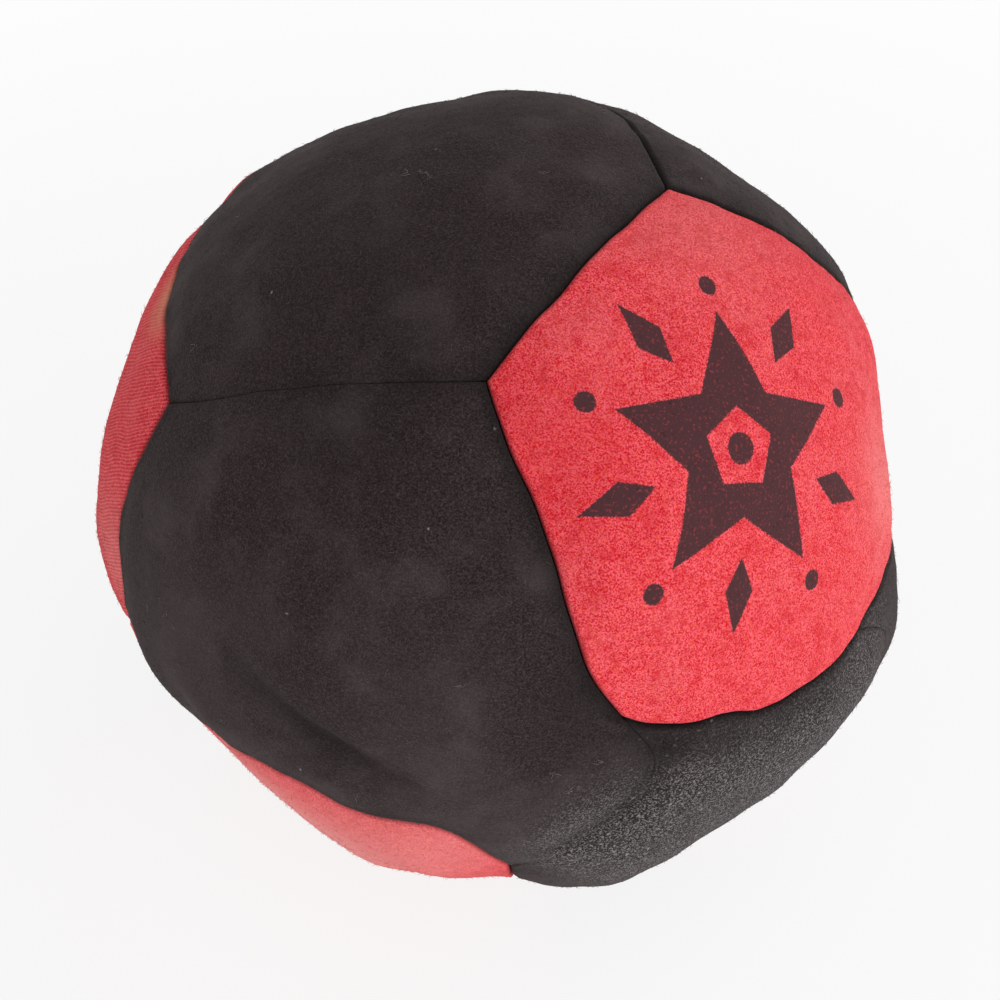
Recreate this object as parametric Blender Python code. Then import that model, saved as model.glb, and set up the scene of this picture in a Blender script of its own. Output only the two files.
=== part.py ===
"""A footbag: twelve five-sided suede panels sewn edge to edge round a filling of sand.

The bag stands on the small flat that its own weight presses into it, at z = 0, with its middle above
the origin. Its front, the side seen in the reference view, faces -Y and up.
Lengths are in metres, angles in degrees.
"""

import math

import bmesh
import bpy
from mathutils import Vector

# The bag
BAG_DIAMETER = 0.052
REST_FLAT_DIAMETER = 0.019
REST_ROLL_OFF = 0.0014

# The suede panels
SUEDE_THICKNESS = 0.0009
SEAM_ALLOWANCE = 0.0028
SEAM_GAP = 0.0003
FOLD_DEPTH = 0.0009
SHOULDER_WIDTH = 0.0014
SHOULDER_DROP = 0.00015
SEAM_DRAW_IN = 0.0003
CORNER_DRAW_IN = 0.0003

# The sewing thread
THREAD_DIAMETER = 0.0004
STITCH_RISE = 0.0005
STITCH_LENGTH = 0.0047

# Clear space between pieces that touch, and what the flat faces of a curved piece may stray
CLEARANCE = 0.0003
FACET_ALLOWANCE = 0.0003

# How the panels are laid out: where the front panel faces, and how it is turned about its own middle
FRONT_HEADING = 52.7
FRONT_LIFT = 40.4
FRONT_SPIN = -23.7
VIEW_LIFT = 45.0

# How finely the curved suede is cut into flat faces
SEAM_STEP = 0.0033
MEASURING_STEPS = 24
CENTRING_ROUNDS = 60
CENTRING_STEP_SHARE = 0.006
CROWN_STEP_SHARES = (0.28, 0.52, 0.74, 0.90)
INNER_STEP_SHARES = (0.35, 0.62, 0.85)
FILLING_STEP_SHARES = (0.60,)
HEADING_SHARE = 0.01
SHARP_ANGLE = 50

# Real panels are cut and sewn by hand, so the corners stray from a regular layout. Each corner is named by
# its ring round the front panel and its place in the ring, and its shift is (right, up, towards the viewer)
# in the reference view, as shares of the bag's radius.
CORNER_SHIFT_SHARES = {
    (0, 0): (0.040, -0.020, 0.000),
    (0, 1): (-0.021, 0.038, -0.008),
    (0, 2): (-0.058, -0.047, -0.006),
    (0, 3): (-0.050, -0.020, 0.081),
    (0, 4): (0.025, 0.021, -0.165),
    (1, 0): (0.066, 0.016, -0.101),
    (1, 1): (-0.063, 0.044, -0.075),
    (1, 2): (0.173, -0.050, -0.075),
    (1, 3): (0.040, 0.049, 0.000),
    (2, 0): (0.045, 0.053, -0.019),
    (2, 1): (-0.149, 0.182, -0.140),
    (2, 2): (-0.055, -0.005, 0.020),
}

# Seams that bow between their two corners. Each is a sum of swings, one, two, three and so on along the
# seam, as shares of the radius, to the left of someone who follows it from the first corner on the outside.
SEAM_BOW_SHARES = {
    ((0, 0), (0, 4)): (-0.044, -0.006, -0.005),
    ((0, 1), (0, 2)): (-0.023, 0.011, -0.009),
    ((0, 2), (0, 3)): (-0.072, 0.009, -0.008, -0.006, -0.005),
    ((0, 3), (0, 4)): (-0.073, 0.006, 0.012),
    ((0, 1), (1, 1)): (0.016, -0.004, 0.004),
    ((0, 0), (1, 0)): (-0.113, 0.020, 0.007),
    ((0, 2), (1, 2)): (0.138, 0.045, 0.015, 0.000, 0.006),
    ((0, 3), (1, 3)): (0.034, 0.051, 0.022),
    ((1, 1), (2, 0)): (0.012, -0.003, -0.006),
    ((1, 1), (2, 1)): (-0.004, -0.009, 0.014),
    ((1, 2), (2, 1)): (-0.140, -0.150, 0.001, -0.039, -0.024),
}

# Where the packed sand swells the bag past a ball, or leaves it slack: the clock angle from the right in the
# reference view, the tilt towards the viewer, the swell as a share of the radius, and the spread in degrees
SWELL_SHARES = (
    (338, 8, 0.079, 20),
    (354, 5, -0.053, 10),
    (312, 4, 0.021, 20),
    (285, 4, 0.033, 16),
    (268, 10, -0.016, 12),
    (248, 10, 0.008, 12),
    (228, 8, -0.061, 20),
    (203, 4, -0.012, 10),
    (188, 5, 0.023, 18),
    (165, 5, -0.022, 14),
    (128, 5, 0.018, 14),
    (107, 5, -0.027, 16),
    (80, 5, 0.018, 16),
    (60, 5, -0.012, 16),
    (28, 5, 0.040, 18),
    (5, 5, -0.037, 18),
)

NEAR_PANELS = (
    "panel_black_upper_left",
    "panel_black_middle",
    "panel_black_lower",
    "panel_black_right",
    "panel_black_top",
)
FAR_PANELS = (
    "panel_red_left",
    "panel_red_lower_left",
    "panel_red_base",
    "panel_red_right_back",
    "panel_red_top_back",
)
FRONT_PANEL = "panel_red_front"
BACK_PANEL = "panel_black_back"

# Colour, roughness and metallic value of each material
FINISHES = {
    "black_suede": ((0.030, 0.026, 0.026, 1.0), 0.95, 0.0),
    "red_suede": ((0.720, 0.080, 0.085, 1.0), 0.92, 0.0),
    "black_thread": ((0.020, 0.019, 0.020, 1.0), 0.80, 0.0),
    "sand": ((0.560, 0.430, 0.290, 1.0), 1.00, 0.0),
}

RADIUS = BAG_DIAMETER / 2
THREAD_DEPTH = FOLD_DEPTH + THREAD_DIAMETER + STITCH_RISE
EDGE_DEPTH = FOLD_DEPTH + SEAM_ALLOWANCE
EDGE_OFFSET = THREAD_DIAMETER / 2 + CLEARANCE
INNER_OFFSET = EDGE_OFFSET + SUEDE_THICKNESS
FILLING_INSET = SUEDE_THICKNESS + CLEARANCE + FACET_ALLOWANCE
FILLING_OFFSET = INNER_OFFSET + CLEARANCE + FACET_ALLOWANCE
FILLING_DEPTH = EDGE_DEPTH + CLEARANCE + FACET_ALLOWANCE


def clear_scene():
    for existing in list(bpy.data.objects):
        bpy.data.objects.remove(existing, do_unlink=True)


def view_axes():
    """The reference view's right, up and towards-the-viewer directions."""
    lift = math.radians(VIEW_LIFT)
    right = Vector((1, 0, 0))
    up = Vector((0, math.sin(lift), math.cos(lift)))
    return right, up, right.cross(up)


def from_view(shares):
    """A direction or shift given as right, up and towards the viewer, in the bag's own axes."""
    right, up, towards = view_axes()
    return right * shares[0] + up * shares[1] + towards * shares[2]


def front_axis():
    heading = math.radians(FRONT_HEADING)
    lift = math.radians(FRONT_LIFT)
    return Vector((
        math.sin(heading) * math.cos(lift),
        -math.cos(heading) * math.cos(lift),
        math.sin(lift),
    ))


def seam_corners():
    """The twenty points where three seams meet, as directions from the bag's middle.

    They are a dodecahedron's corners, in four rings of five round the front panel, then shifted.
    """
    axis = front_axis()
    up = Vector((0, 0, 1))
    upward = (up - axis * up.dot(axis)).normalized()
    sideways = axis.cross(upward)
    near = math.acos(math.sqrt((5 + 2 * math.sqrt(5)) / 15))
    far = math.acos(math.sqrt((5 - 2 * math.sqrt(5)) / 15))
    fifth = 2 * math.pi / 5
    rings = ((near, 0), (far, 0), (math.pi - far, fifth / 2), (math.pi - near, fifth / 2))
    corners = {}
    for ring, (tilt, start) in enumerate(rings):
        for place in range(5):
            turn = math.radians(FRONT_SPIN) + start + fifth * place
            outward = upward * math.cos(turn) + sideways * math.sin(turn)
            corner = axis * math.cos(tilt) + outward * math.sin(tilt)
            shift = from_view(CORNER_SHIFT_SHARES.get((ring, place), (0, 0, 0)))
            corners[ring, place] = (corner + shift).normalized()
    return corners


def panel_outlines():
    """Each panel's five corners, anticlockwise as seen from outside, by the panel's name."""
    outlines = {FRONT_PANEL: [(0, place) for place in range(5)]}
    for place in range(5):
        following = (place + 1) % 5
        outlines[NEAR_PANELS[place]] = [
            (0, place), (1, place), (2, place), (1, following), (0, following),
        ]
        outlines[FAR_PANELS[place]] = [
            (1, following), (2, place), (3, place), (3, following), (2, following),
        ]
    outlines[BACK_PANEL] = [(3, place) for place in reversed(range(5))]
    return outlines


def seam_point(corners, first, second, share):
    """A point along the seam from one corner to another, as a direction."""
    if first > second:
        first, second, share = second, first, 1 - share
    start, end = corners[first], corners[second]
    angle = start.angle(end)
    point = (start * math.sin((1 - share) * angle) + end * math.sin(share * angle)) / math.sin(angle)
    swings = SEAM_BOW_SHARES.get((first, second), ())
    bow = sum(swing * math.sin(math.pi * count * share) for count, swing in enumerate(swings, start=1))
    return (point + start.cross(end).normalized() * bow).normalized()


def seam_length(corners, first, second):
    points = [seam_point(corners, first, second, step / MEASURING_STEPS) for step in range(MEASURING_STEPS + 1)]
    return RADIUS * sum((after - before).length for before, after in zip(points, points[1:]))


def seam_steps(corners, first, second):
    """How many straight steps a seam is cut into."""
    return round(seam_length(corners, first, second) / SEAM_STEP)


def swell(direction):
    """How far the bag stands proud of a ball in a direction, as a share of its radius."""
    total = 0.0
    for clock, tilt, share, spread in SWELL_SHARES:
        angle, lean = math.radians(clock), math.radians(tilt)
        peak = from_view((
            math.cos(angle) * math.cos(lean),
            math.sin(angle) * math.cos(lean),
            math.sin(lean),
        ))
        total += share * math.exp(-(direction.angle(peak) / math.radians(spread)) ** 2)
    return total


def settled(point):
    """Presses a point flat where the bag rests, with a smooth roll-off round the flat."""
    below = math.sqrt(RADIUS ** 2 - (REST_FLAT_DIAMETER / 2) ** 2) - SEAM_DRAW_IN
    height = point.z + below
    if height <= 0:
        height = 0.0
    elif height < REST_ROLL_OFF:
        height = height ** 2 / (2 * REST_ROLL_OFF)
    else:
        height = height - REST_ROLL_OFF / 2
    return Vector((point.x, point.y, height))


def bag_point(direction, drawn_in):
    """A point of the bag's outside, drawn in towards the middle near a seam."""
    return settled(direction * (RADIUS * (1 + swell(direction)) - drawn_in))


class Panel:
    """One panel's place on the bag: its middle, and lines of stations inside its five seams."""

    def __init__(self, corners, outline):
        self.corners = corners
        self.sides = [(outline[side], outline[(side + 1) % 5]) for side in range(5)]
        self.cut_backs = [self.cut_back(side) for side in range(5)]
        self.middle = self.find_middle()

    def find_middle(self):
        """A direction inside the panel that every stretch of its seams faces, as far from all as can be."""
        line = self.line(0)
        middle = sum((station for station, _, _ in line), Vector()).normalized()
        for _ in range(CENTRING_ROUNDS):
            nearest = min((inward for _, inward, _ in line), key=middle.dot)
            middle = (middle + nearest * CENTRING_STEP_SHARE).normalized()
        return middle

    def cut_back(self, side):
        """How much of a seam each metre of inset takes up at the corner where a side starts.

        Where the panel reaches round its corner the inset line grows instead, so it is negative.
        """
        corner = self.corners[self.sides[side][0]]
        leaving_share = 1 / seam_steps(self.corners, *self.sides[side])
        coming_share = 1 - 1 / seam_steps(self.corners, *self.sides[side - 1])
        leaving = seam_point(self.corners, *self.sides[side], leaving_share) - corner
        coming = seam_point(self.corners, *self.sides[side - 1], coming_share) - corner
        angle = leaving.angle(coming)
        if leaving.cross(coming).dot(corner) < 0:
            angle = 2 * math.pi - angle
        return 1 / math.tan(angle / 2)

    def line(self, offset):
        """Stations on the seams that a line so far inside them starts from.

        Each has its direction, the way square to the seam into the panel, and its draw-in.
        """
        stations = []
        for side, (first, second) in enumerate(self.sides):
            length = seam_length(self.corners, first, second)
            start = self.cut_backs[side] * offset / length
            end = self.cut_backs[(side + 1) % 5] * offset / length
            steps = seam_steps(self.corners, first, second)
            for step in range(steps):
                share = start + (1 - start - end) * step / steps
                here = seam_point(self.corners, first, second, share)
                before = seam_point(self.corners, first, second, share - HEADING_SHARE)
                after = seam_point(self.corners, first, second, share + HEADING_SHARE)
                drawn_in = SEAM_DRAW_IN + CORNER_DRAW_IN * (2 * share - 1) ** 4
                stations.append((here, here.cross(after - before).normalized(), drawn_in))
        return stations

    def crown_ring(self, share, offset, inset):
        """A ring on the crown, at a share of the way from the middle to a line beside the seams."""
        ring = []
        for station, inward, drawn_in in self.line(offset):
            rim = (station + inward * (offset / RADIUS)).normalized()
            direction = (self.middle * (1 - share) + rim * share).normalized()
            ring.append(bag_point(direction, drawn_in * share ** 3) - direction * inset)
        return ring

    def seam_ring(self, offset, depth):
        """A ring beside the seams: so far into the panel, and so deep under the bag's outside."""
        ring = []
        for station, inward, drawn_in in self.line(offset):
            place = bag_point(station, drawn_in) + inward * offset - station * depth
            ring.append(Vector((place.x, place.y, max(place.z, 0))))
        return ring

    def crown_middle(self, inset):
        return bag_point(self.middle, 0) - self.middle * inset


def add_rings(mesh, middle, rings):
    """A skin from a middle point out through its rings. Returns its last ring."""
    centre = mesh.verts.new(middle)
    rows = [[mesh.verts.new(point) for point in ring] for ring in rings]
    count = len(rows[0])
    for index in range(count):
        following = (index + 1) % count
        mesh.faces.new((centre, rows[0][index], rows[0][following]))
        for inner, outer in zip(rows, rows[1:]):
            mesh.faces.new((inner[index], outer[index], outer[following], inner[following]))
    return rows[-1]


def finish_object(name, mesh, finish, collection, bag):
    data = bpy.data.meshes.new(name)
    mesh.to_mesh(data)
    mesh.free()
    data.shade_smooth()
    data.set_sharp_from_angle(angle=math.radians(SHARP_ANGLE))
    made = bpy.data.objects.new(name, data)
    made.parent = bag
    data.materials.append(finish)
    collection.objects.link(made)
    return made


def make_panel(name, panel, finish, collection, bag):
    """A suede panel: a crowned shell whose edges roll over and turn in for the seam."""
    outside = [panel.crown_ring(share, SHOULDER_WIDTH, 0) for share in CROWN_STEP_SHARES]
    outside += [
        panel.seam_ring(SHOULDER_WIDTH, SHOULDER_DROP),
        panel.seam_ring((SEAM_GAP + SHOULDER_WIDTH) / 3, FOLD_DEPTH / 2),
        panel.seam_ring(SEAM_GAP / 2, FOLD_DEPTH),
        panel.seam_ring(EDGE_OFFSET, THREAD_DEPTH - STITCH_RISE),
        panel.seam_ring(EDGE_OFFSET, EDGE_DEPTH),
    ]
    inside = [panel.crown_ring(share, INNER_OFFSET, SUEDE_THICKNESS) for share in INNER_STEP_SHARES]
    inside += [
        panel.seam_ring(INNER_OFFSET, SUEDE_THICKNESS + SHOULDER_DROP),
        panel.seam_ring(INNER_OFFSET, EDGE_DEPTH),
    ]
    mesh = bmesh.new()
    outer_edge = add_rings(mesh, panel.crown_middle(0), outside)
    inner_edge = add_rings(mesh, panel.crown_middle(SUEDE_THICKNESS), inside)
    for index in range(len(outer_edge)):
        following = (index + 1) % len(outer_edge)
        mesh.faces.new((outer_edge[index], inner_edge[index], inner_edge[following], outer_edge[following]))
    bmesh.ops.recalc_face_normals(mesh, faces=mesh.faces)
    return finish_object(name, mesh, finish, collection, bag)


def make_filling(panels, finish, collection, bag):
    """The sand: one packed body that fills the panels and stands back from the turned-in edges."""
    mesh = bmesh.new()
    for panel in panels:
        rings = [panel.crown_ring(share, FILLING_OFFSET, FILLING_INSET) for share in FILLING_STEP_SHARES]
        rings += [
            panel.seam_ring(FILLING_OFFSET, FILLING_INSET + SHOULDER_DROP + CLEARANCE),
            panel.seam_ring(FILLING_OFFSET, FILLING_DEPTH),
            panel.seam_ring(0, FILLING_DEPTH),
        ]
        add_rings(mesh, panel.crown_middle(FILLING_INSET), rings)
    bmesh.ops.remove_doubles(mesh, verts=mesh.verts, dist=CLEARANCE / 10)
    return finish_object("sand_filling", mesh, finish, collection, bag)


def make_thread(name, corners, seam, finish, collection, bag):
    """The run of thread along one seam, rising and falling between the two turned-in edges."""
    curve = bpy.data.curves.new(name, "CURVE")
    curve.dimensions = "3D"
    curve.bevel_depth = THREAD_DIAMETER / 2
    curve.bevel_resolution = 0
    curve.use_fill_caps = True
    line = curve.splines.new("POLY")
    length = seam_length(corners, *seam)
    end_share = (EDGE_OFFSET + SUEDE_THICKNESS) / length
    count = 2 * round(length / STITCH_LENGTH) + 1
    line.points.add(count - 1)
    for index, point in enumerate(line.points):
        share = end_share + (1 - 2 * end_share) * index / (count - 1)
        direction = seam_point(corners, seam[0], seam[1], share)
        drawn_in = SEAM_DRAW_IN + CORNER_DRAW_IN * (2 * share - 1) ** 4
        rise = STITCH_RISE if index % 2 else 0
        place = bag_point(direction, drawn_in) - direction * (THREAD_DEPTH + STITCH_RISE - rise)
        point.co = (*place, 1)
    made = bpy.data.objects.new(name, curve)
    made.parent = bag
    curve.materials.append(finish)
    collection.objects.link(made)
    return made


def seams_of(outlines):
    """Every seam once, as its two corners in order."""
    seams = set()
    for outline in outlines.values():
        for side in range(5):
            seams.add(tuple(sorted((outline[side], outline[(side + 1) % 5]))))
    return sorted(seams)


def make_finish(name):
    colour, roughness, metallic = FINISHES[name]
    finish = bpy.data.materials.new(name)
    finish.use_nodes = True
    shader = finish.node_tree.nodes["Principled BSDF"]
    shader.inputs["Base Color"].default_value = colour
    shader.inputs["Roughness"].default_value = roughness
    shader.inputs["Metallic"].default_value = metallic
    finish.diffuse_color = colour
    return finish


def main():
    clear_scene()
    collection = bpy.data.collections.new("footbag")
    bpy.context.scene.collection.children.link(collection)
    bag = bpy.data.objects.new("footbag_middle", None)
    collection.objects.link(bag)
    finishes = {name: make_finish(name) for name in FINISHES}
    corners = seam_corners()
    outlines = panel_outlines()
    panels = {name: Panel(corners, outline) for name, outline in outlines.items()}
    for name, panel in panels.items():
        colour = "red_suede" if "red" in name else "black_suede"
        make_panel(name, panel, finishes[colour], collection, bag)
    for number, seam in enumerate(seams_of(outlines), start=1):
        make_thread(f"seam_thread_{number:02d}", corners, seam, finishes["black_thread"], collection, bag)
    make_filling(panels.values(), finishes["sand"], collection, bag)


main()
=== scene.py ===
"""The looks of the footbag: twelve suede panels, their seams, the print, and the studio round them.

Lengths are in metres and angles in degrees. A place that the photograph gives is written as a pixel of its
1000 x 1000 frame, and is carried to the bag along the camera's line of sight. A ray is a direction from the
bag's middle, as a vector of length 1.
"""

import functools
import math

import bmesh
import bpy
import numpy as np
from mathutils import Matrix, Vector


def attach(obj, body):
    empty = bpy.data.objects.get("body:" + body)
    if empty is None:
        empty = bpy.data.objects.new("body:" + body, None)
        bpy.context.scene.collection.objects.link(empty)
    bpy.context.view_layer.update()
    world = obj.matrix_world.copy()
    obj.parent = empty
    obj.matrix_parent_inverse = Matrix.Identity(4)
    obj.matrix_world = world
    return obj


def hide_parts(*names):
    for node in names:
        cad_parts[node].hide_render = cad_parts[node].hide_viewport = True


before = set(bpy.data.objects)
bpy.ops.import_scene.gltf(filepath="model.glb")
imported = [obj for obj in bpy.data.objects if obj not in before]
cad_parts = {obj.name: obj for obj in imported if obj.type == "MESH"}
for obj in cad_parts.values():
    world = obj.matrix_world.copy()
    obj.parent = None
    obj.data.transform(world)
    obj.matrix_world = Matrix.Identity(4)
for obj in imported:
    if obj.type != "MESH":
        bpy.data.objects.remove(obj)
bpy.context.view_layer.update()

# The bag, with the sizes that its solids have
BAG_DIAMETER = 0.052
REST_FLAT_DIAMETER = 0.019
REST_ROLL_OFF = 0.0014
SUEDE_THICKNESS = 0.0009
SEAM_ALLOWANCE = 0.0028
SEAM_DRAW_IN = 0.0003
THREAD_DIAMETER = 0.0004
THREAD_DEPTH = 0.0018
STITCH_RISE = 0.0005
STITCH_LENGTH = 0.0047
CLEARANCE = 0.0003
FRONT_HEADING = 52.7
FRONT_LIFT = 40.4
FRONT_SPIN = -23.7
VIEW_LIFT = 45.0

# The seams' fine form, sharper than the solids have it
SEAM_GAP = 0.00006
FOLD_DEPTH = 0.00042
SHOULDER_WIDTH = 0.00042
DRAW_DEPTH = 0.00042
DRAW_SHARE = 0.6
DRAW_WIDTH = 0.0018
SOFT_SEAM_SHARES = {((0, 2), (1, 2)): 0.95, ((0, 3), (1, 3)): 0.85, ((0, 1), (1, 1)): 0.70}
SOFT_SEAM_POWER = 0.25
PUCKERS_PER_SEAM = 8
PUCKER_HEIGHT = 0.000018
PUCKER_REACH = 0.0009
# How far the painted shade beside the seams reaches into the panels
SEAM_PAINTED_SHADE_WIDTH = 0.0011

# How a sewn seam wanders: its height, each wave's turns along the seam and share, and what sets its phase
SEAM_WANDER = 0.00005
WANDER_WAVES = ((17, 1.0), (31, 0.6))
WANDER_PHASES = (1.7, 2.3, 3.1)

# How finely the surfaces are cut
SEAM_STEPS = 56
SEAM_SAMPLES = 41
CROWN_STEPS = 56
CROWN_CROWDING = 1.2
SHOULDER_STEPS = 6
INNER_STEPS = 8
HEADING_SHARE = 0.01
CORNER_REACH_SHARE = 0.12
CENTRING_ROUNDS = 60
CENTRING_STEP_SHARE = 0.006
AIM_ROUNDS = 8

# Corner shifts (right, up, towards the viewer) as shares of the radius, by ring and place in the ring
CORNER_SHIFT_SHARES = {
    (0, 0): (0.040, -0.020, 0.000),
    (0, 1): (-0.021, 0.038, -0.008),
    (0, 2): (-0.058, -0.047, -0.006),
    (0, 3): (-0.050, -0.020, 0.081),
    (0, 4): (0.025, 0.021, -0.165),
    (1, 0): (0.066, 0.016, -0.101),
    (1, 1): (-0.063, 0.044, -0.075),
    (1, 2): (0.173, -0.050, -0.075),
    (1, 3): (0.040, 0.049, 0.000),
    (2, 0): (0.045, 0.053, -0.019),
    (2, 1): (-0.149, 0.182, -0.140),
    (2, 2): (-0.055, -0.005, 0.020),
}

# Bows of the seams in one, two, three and more swings, as shares of the radius, to the left of the way along
SEAM_BOW_SHARES = {
    ((0, 0), (0, 4)): (-0.044, -0.006, -0.005),
    ((0, 1), (0, 2)): (-0.023, 0.011, -0.009),
    ((0, 2), (0, 3)): (-0.072, 0.009, -0.008, -0.006, -0.005),
    ((0, 3), (0, 4)): (-0.073, 0.006, 0.012),
    ((0, 1), (1, 1)): (0.016, -0.004, 0.004),
    ((0, 0), (1, 0)): (-0.113, 0.020, 0.007),
    ((0, 2), (1, 2)): (0.138, 0.045, 0.015, 0.000, 0.006),
    ((0, 3), (1, 3)): (0.034, 0.051, 0.022),
    ((1, 1), (2, 0)): (0.012, -0.003, -0.006),
    ((1, 1), (2, 1)): (-0.004, -0.009, 0.014),
    ((1, 2), (2, 1)): (-0.140, -0.150, 0.001, -0.039, -0.024),
}

# Swells and slack places: clock angle in the view, tilt towards the viewer, share of the radius, spread
SWELL_SHARES = (
    (338, 8, 0.079, 20), (354, 5, -0.053, 10), (312, 4, 0.021, 20), (285, 4, 0.033, 16),
    (268, 10, -0.016, 12), (248, 10, 0.008, 12), (228, 8, -0.061, 20), (203, 4, -0.012, 10),
    (188, 5, 0.023, 18), (165, 5, -0.022, 14), (128, 5, 0.018, 14), (107, 5, -0.027, 16),
    (80, 5, 0.018, 16), (60, 5, -0.012, 16), (28, 5, 0.040, 18), (5, 5, -0.037, 18),
)

# The sand's soft lumps under the suede: their length, their height and the seed of their pattern
LUMPS = ((0.0110, 0.000090, 11), (0.0045, 0.000035, 12), (0.0012, 0.000008, 13))
NOISE_WAVES = 14
NOISE_PITCHES = (0.7, 1.3)

# The crease in the middle panel, by three pixels that its edge passes: a fine ridge, and beside it the
# suede drops away steeply and comes back gently. Places along it are shares of the way between its ends
CREASE_PX = ((217, 627), (286, 693), (385, 759))
CREASE_RIDGE = 0.00006
CREASE_RIDGE_WIDTH = 0.00035
CREASE_RIDGE_START = 0.06
CREASE_RIDGE_PEAK = 0.08
CREASE_RIDGE_REACH = 0.26
CREASE_RIDGE_END = 1.2
CREASE_DROP = 0.00040
CREASE_DROP_PEAK = 0.62
CREASE_DROP_REACH = 0.55
CREASE_DROP_POWER = 3
CREASE_STEEP_WIDTH = 0.0009
CREASE_GENTLE_WIDTH = 0.0024

# Soft hollows and rises that the photograph shows: the pixel, the height and the spread
HOLLOWS = (
    ((545, 745), -0.00030, 0.0028), ((480, 372), -0.00012, 0.0016), ((655, 745), -0.00024, 0.0012),
    ((658, 778), -0.00026, 0.0012), ((636, 810), -0.00024, 0.0012), ((600, 834), -0.00020, 0.0012),
    ((565, 850), -0.00014, 0.0010), ((455, 700), 0.00014, 0.0034), ((700, 800), 0.00012, 0.0030),
)

# Painted shade that darkens the suede, and where less than 0 painted light that makes it paler, by the
# panel's colour: the pixel, the amount and the spread
PAINTED_SHADES_AND_LIGHT = {
    "black": (
        ((645, 740), 0.70, 0.0013), ((660, 765), 0.70, 0.0013), ((648, 792), 0.70, 0.0013),
        ((625, 815), 0.65, 0.0013), ((598, 832), 0.60, 0.0012), ((570, 846), 0.50, 0.0011),
        ((540, 858), 0.45, 0.0010), ((590, 690), 0.45, 0.0022), ((683, 746), 0.50, 0.0015),
        ((735, 740), 0.62, 0.0021), ((785, 722), 0.62, 0.0021), ((830, 694), 0.58, 0.0021),
        ((300, 380), 0.25, 0.0014), ((420, 374), 0.30, 0.0014), ((400, 290), 0.20, 0.0065),
        ((350, 430), 0.20, 0.0045), ((505, 550), 0.15, 0.0035), ((555, 735), 0.28, 0.0038),
        ((735, 185), 0.25, 0.0040), ((470, 750), -0.22, 0.0070), ((196, 640), -0.26, 0.0045),
    ),
    "red": (((550, 470), 0.55, 0.0055), ((525, 390), 0.15, 0.0035)),
}
# Painted shade in the crease's lee: how much of it, and how steeply it comes in beside the ridge
CREASE_PAINTED_SHADE_SHARE = 0.90
CREASE_PAINTED_SHADE_EDGE = 0.00035

# Where the black nap is roughed up and dusty, and where the red suede is made paler as painted sheen, by the
# panel's colour: the pixel, the amount and the spread
WEAR_AND_PAINTED_SHEEN = {
    "black": (
        ((700, 805), 0.52, 0.0070), ((590, 845), 0.45, 0.0050), ((650, 880), 0.30, 0.0045),
        ((840, 725), 0.50, 0.0055), ((690, 882), 0.45, 0.0050), ((768, 832), 0.45, 0.0050),
        ((832, 775), 0.40, 0.0050), ((882, 610), 0.18, 0.0045), ((450, 100), 0.12, 0.0050),
    ),
    "red": (
        ((330, 850), 1.00, 0.0070), ((250, 790), 0.80, 0.0045), ((440, 850), 0.35, 0.0050),
        ((700, 225), 0.16, 0.0045), ((885, 480), 0.45, 0.0040), ((112, 560), 0.50, 0.0040),
    ),
}

FRONT_PANEL = "panel_red_front"
NEAR_PANELS = [f"panel_black_{place}" for place in ("upper_left", "middle", "lower", "right", "top")]
FAR_PANELS = [f"panel_red_{place}" for place in ("left", "lower_left", "base", "right_back", "top_back")]
STRETCHED_PANEL = FAR_PANELS[0]
BACK_PANEL = "panel_black_back"

# The camera, from the photograph: its distance in bag radii, and where the bag's middle and edge fall
CAMERA_DISTANCE_SHARE = 4.0
PHOTO_SIDE_PX = 1000
MIDDLE_PX = (497, 488)
EDGE_RADIUS_PX = 396
FOCAL_PX = EDGE_RADIUS_PX * math.sqrt(CAMERA_DISTANCE_SHARE ** 2 - 1)
SENSOR_WIDTH_MM = 36.0
CLIP_SHARES = (0.1, 200)

RADIUS = BAG_DIAMETER / 2
EDGE_OFFSET = THREAD_DIAMETER / 2 + CLEARANCE
INNER_OFFSET = EDGE_OFFSET + SUEDE_THICKNESS
THREAD_TOP_DEPTH = THREAD_DEPTH - STITCH_RISE - THREAD_DIAMETER
EDGE_DEPTH = THREAD_TOP_DEPTH + SEAM_ALLOWANCE
FLOOR_BELOW_MIDDLE = math.sqrt(RADIUS ** 2 - (REST_FLAT_DIAMETER / 2) ** 2) - SEAM_DRAW_IN
MIDDLE = np.array((0.0, 0.0, FLOOR_BELOW_MIDDLE - REST_ROLL_OFF / 2))
TURN = 2 * math.pi
FIFTH_TURN = TURN / 5


def unit(vectors):
    return vectors / np.linalg.norm(vectors, axis=-1, keepdims=True)


def angle_between(rays, direction):
    return np.arccos(np.clip(rays @ direction, -1.0, 1.0))


def hump(away):
    """A soft bell that is 1 where it is none away."""
    return np.exp(-away ** 2)


def eased(share):
    """A share from 0 to 1 that starts and ends gently."""
    return share ** 2 * (3 - 2 * share)


def view_axes():
    """The photograph's ways right, up and towards the viewer, as rows."""
    rise, run = math.sin(math.radians(VIEW_LIFT)), math.cos(math.radians(VIEW_LIFT))
    return np.array(((1.0, 0.0, 0.0), (0.0, rise, run), (0.0, -run, rise)))


VIEW = view_axes()


def from_view(shares):
    return np.asarray(shares, dtype=float) @ VIEW


def from_clock(clock, tilt):
    """A ray by its clock angle in the photograph and its tilt towards the viewer."""
    angle, lean = math.radians(clock), math.radians(tilt)
    flat = math.cos(lean)
    return from_view((math.cos(angle) * flat, math.sin(angle) * flat, math.sin(lean)))


def from_pixel(pixel):
    """The ray to what the photograph shows at a pixel, on a plain ball."""
    ray = np.array(((pixel[0] - MIDDLE_PX[0]) / FOCAL_PX, (MIDDLE_PX[1] - pixel[1]) / FOCAL_PX, -1.0))
    eye = np.array((0.0, 0.0, CAMERA_DISTANCE_SHARE))
    square, half, rest = ray @ ray, eye @ ray, CAMERA_DISTANCE_SHARE ** 2 - 1
    reach = (-half - math.sqrt(max(half ** 2 - square * rest, 0.0))) / square
    return unit(from_view(eye + ray * reach))


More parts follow.
